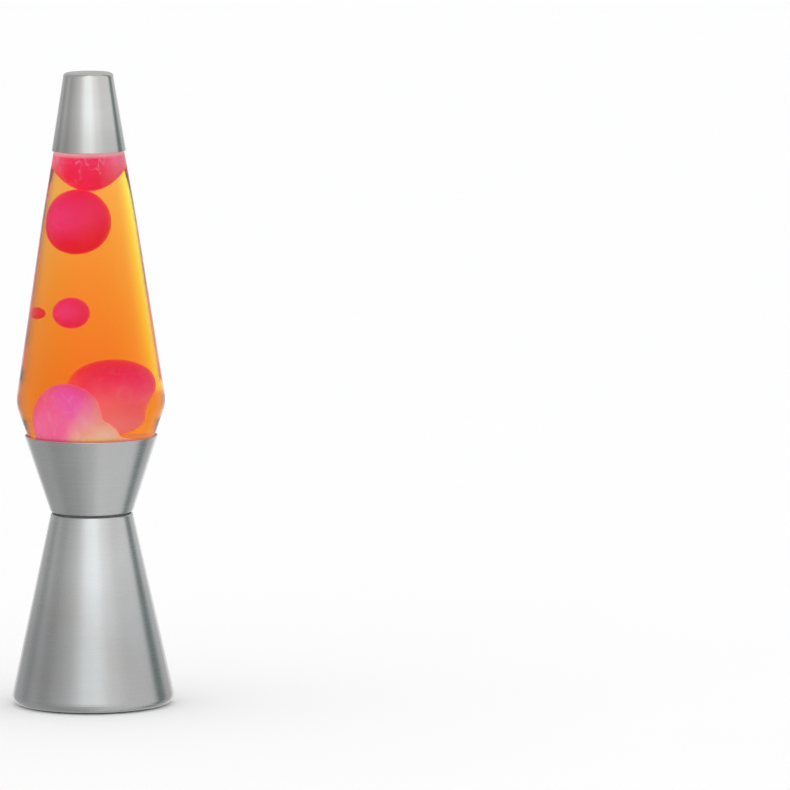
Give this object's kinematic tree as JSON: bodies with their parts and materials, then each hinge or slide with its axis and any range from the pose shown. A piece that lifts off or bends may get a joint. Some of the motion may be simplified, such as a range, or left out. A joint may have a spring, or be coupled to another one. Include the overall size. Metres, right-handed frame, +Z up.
{
  "type": "lava lamp",
  "caption": "Lava lamp with a tapered glass bottle of amber liquid and pink wax, standing in a waisted spun-aluminium base under a loose tapered aluminium cap.",
  "frame": {"origin": "centre of the ring of rubber feet, on the surface the lamp stands on", "axes": "+Z up along the axis of the bottle, -Y towards the front, +Y towards the cord bush at the back"},
  "size_m": [0.102, 0.1027, 0.4],
  "materials": {
    "spun_aluminium": "satin",
    "black_spacer": "matte",
    "zinc_steel": "satin",
    "black_plate": "matte",
    "black_rubber": "matte",
    "brass": "satin",
    "holder_plastic": "gloss",
    "holder_ceramic": "gloss",
    "bulb_glass": "gloss",
    "bulb_metal": "satin",
    "bulb_black_glass": "gloss",
    "lamp_wire": "satin",
    "bottle_glass": "gloss",
    "amber_liquid": "gloss",
    "pink_wax": "satin",
    "coil_steel": "satin",
    "crown_tin": "gloss",
    "liner_plastic": "matte"
  },
  "bodies": {
    "base": {"base_cone": "spun_aluminium", "base_cup": "spun_aluminium", "waist_ring": "black_spacer", "waist_screws": "zinc_steel", "bottom_plate": "black_plate", "plate_screws": "zinc_steel", "rubber_feet": "black_rubber", "cord_bush": "black_rubber", "holder_bracket": "zinc_steel", "holder_nipple": "brass", "holder_nut": "brass", "holder_dome": "holder_plastic", "holder_sleeve": "holder_plastic", "holder_core": "holder_ceramic", "holder_thread_shell": "brass", "holder_contact": "brass"},
    "bulb": {"bulb_glass": "bulb_glass", "bulb_screw_cap": "bulb_metal", "bulb_insulator": "bulb_black_glass", "bulb_contact": "bulb_metal", "bulb_stem": "bulb_glass", "bulb_support_wires": "lamp_wire", "bulb_filament": "lamp_wire"},
    "bottle": {"glass_bottle": "bottle_glass", "liquid": "amber_liquid", "wax_pool": "pink_wax", "wax_rising": "pink_wax", "wax_medium": "pink_wax", "wax_small": "pink_wax", "wax_large": "pink_wax", "wax_top": "pink_wax", "heating_coil": "coil_steel", "crown_cap": "crown_tin", "crown_liner": "liner_plastic"},
    "cap": {"top_cap": "spun_aluminium"}
  },
  "joints": [
    {"name": "bottle_lift", "type": "slide", "parent": "base", "child": "bottle", "axis": [0, 0, 1], "range_m": [0, 0.06]},
    {"name": "cap_lift", "type": "slide", "parent": "bottle", "child": "cap", "axis": [0, 0, 1], "range_m": [0, 0.06]},
    {"name": "bulb_turn", "type": "hinge", "parent": "base", "child": "bulb", "pos_m": [0, 0, 0.077], "axis": [0, 0, 1], "range_deg": [0, 1440]}
  ]
}
